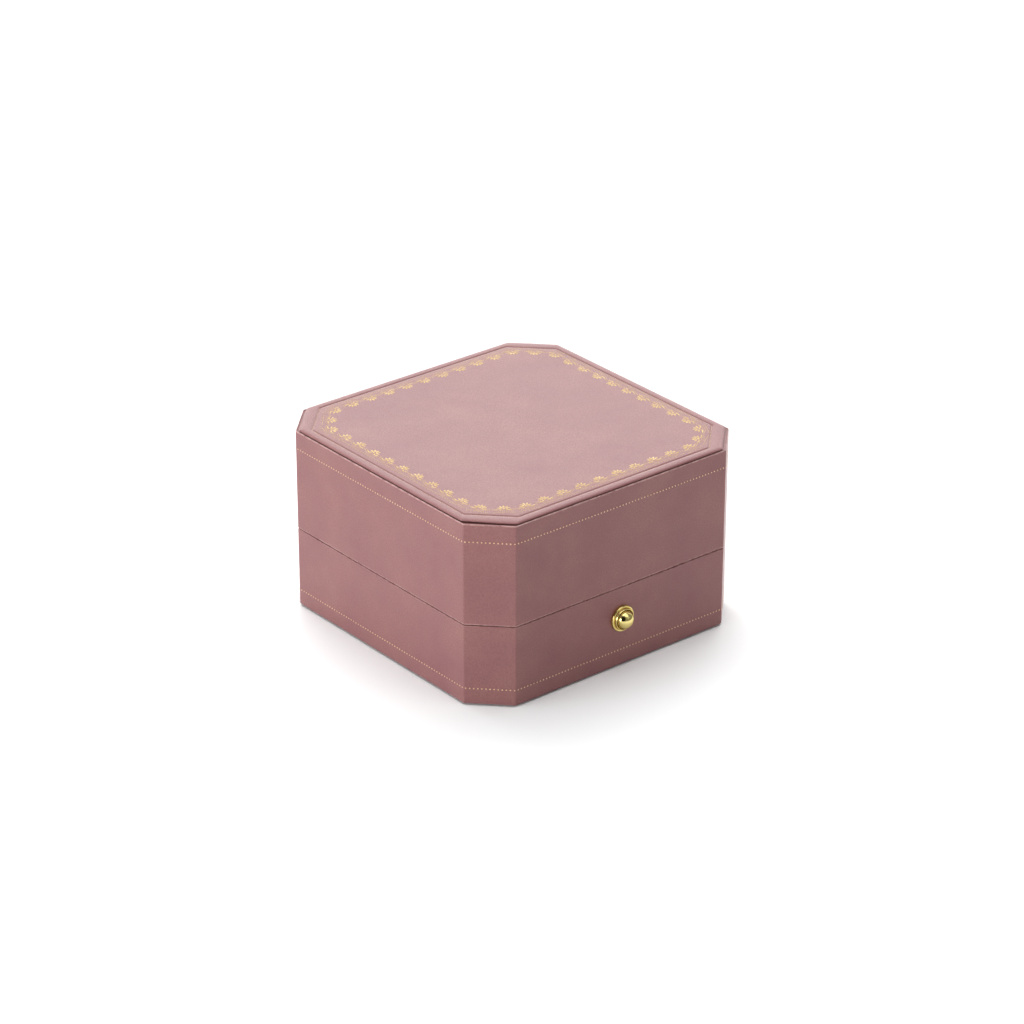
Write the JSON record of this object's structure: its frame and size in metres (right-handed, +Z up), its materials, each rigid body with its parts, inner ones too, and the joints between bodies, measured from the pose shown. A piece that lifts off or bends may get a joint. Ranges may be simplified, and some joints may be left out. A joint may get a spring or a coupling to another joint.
{
  "type": "jewelry box",
  "caption": "Octagonal leatherette jewelry box: rear-hinged lid with padded top, gold-tooled borders, push-button latch, velvet cushions and satin lid lining.",
  "frame": {"origin": "middle of the underside, on the surface the box stands on", "axes": "+Z up, -Y out of the front face with the button, hinge at +Y, X along the hinge"},
  "size_m": [0.09, 0.0937, 0.0527],
  "materials": {
    "leatherette": "dusty rose leatherette with a fine grain",
    "moulded_shell": "matt",
    "underside_flock": "flocked paper",
    "velvet": "short-pile velvet",
    "satin": "satin",
    "padding": "thin foam sheet",
    "board": "greyboard",
    "polished_brass": "polished gold plate",
    "plated_brass": "satin gold plate",
    "spring_steel": "bright"
  },
  "bodies": {
    "base": {"base_shell": "moulded_shell", "base_wrap": "leatherette", "base_underside_panel": "underside_flock", "display_tray": "velvet", "cushion_board": "board", "cushion_front": "velvet", "cushion_rear": "velvet", "button_ferrule": "polished_brass", "latch_pin": "spring_steel", "latch_bracket": "plated_brass", "latch_bracket_screws": "plated_brass", "latch_spring": "spring_steel", "hinge_base_leaf": "plated_brass", "hinge_pin": "plated_brass", "hinge_base_screws": "plated_brass"},
    "lid": {"lid_shell": "moulded_shell", "lid_wrap": "leatherette", "top_padding": "padding", "top_panel": "leatherette", "lid_liner": "satin", "lid_pad_board": "board", "lid_satin_pad": "satin", "keeper_plate": "plated_brass", "keeper_screws": "plated_brass", "hinge_lid_leaf": "plated_brass", "hinge_lid_screws": "plated_brass"},
    "button": {"push_button": "polished_brass", "button_clip": "spring_steel"},
    "latch": {"latch_hook": "plated_brass"}
  },
  "joints": [
    {"name": "lid_hinge", "type": "hinge", "parent": "base", "child": "lid", "pos_m": [0, 0.04303, 0.02325], "axis": [-1, 0, 0], "range_deg": [0, 95]},
    {"name": "button_press", "type": "slide", "parent": "base", "child": "button", "axis": [0, 1, 0], "range_m": [0, 0.0012], "stiffness_N_per_m": 400, "springref_m": -0.001},
    {"name": "latch_swing", "type": "hinge", "parent": "base", "child": "latch", "pos_m": [0, -0.0388, 0.0052], "axis": [-1, 0, 0], "range_deg": [0, 7.6], "deforming": ["latch_spring"]}
  ],
  "couplings": [
    {"joint": "latch_swing", "follows": "button_press", "rad_per_m": 109.89}
  ]
}
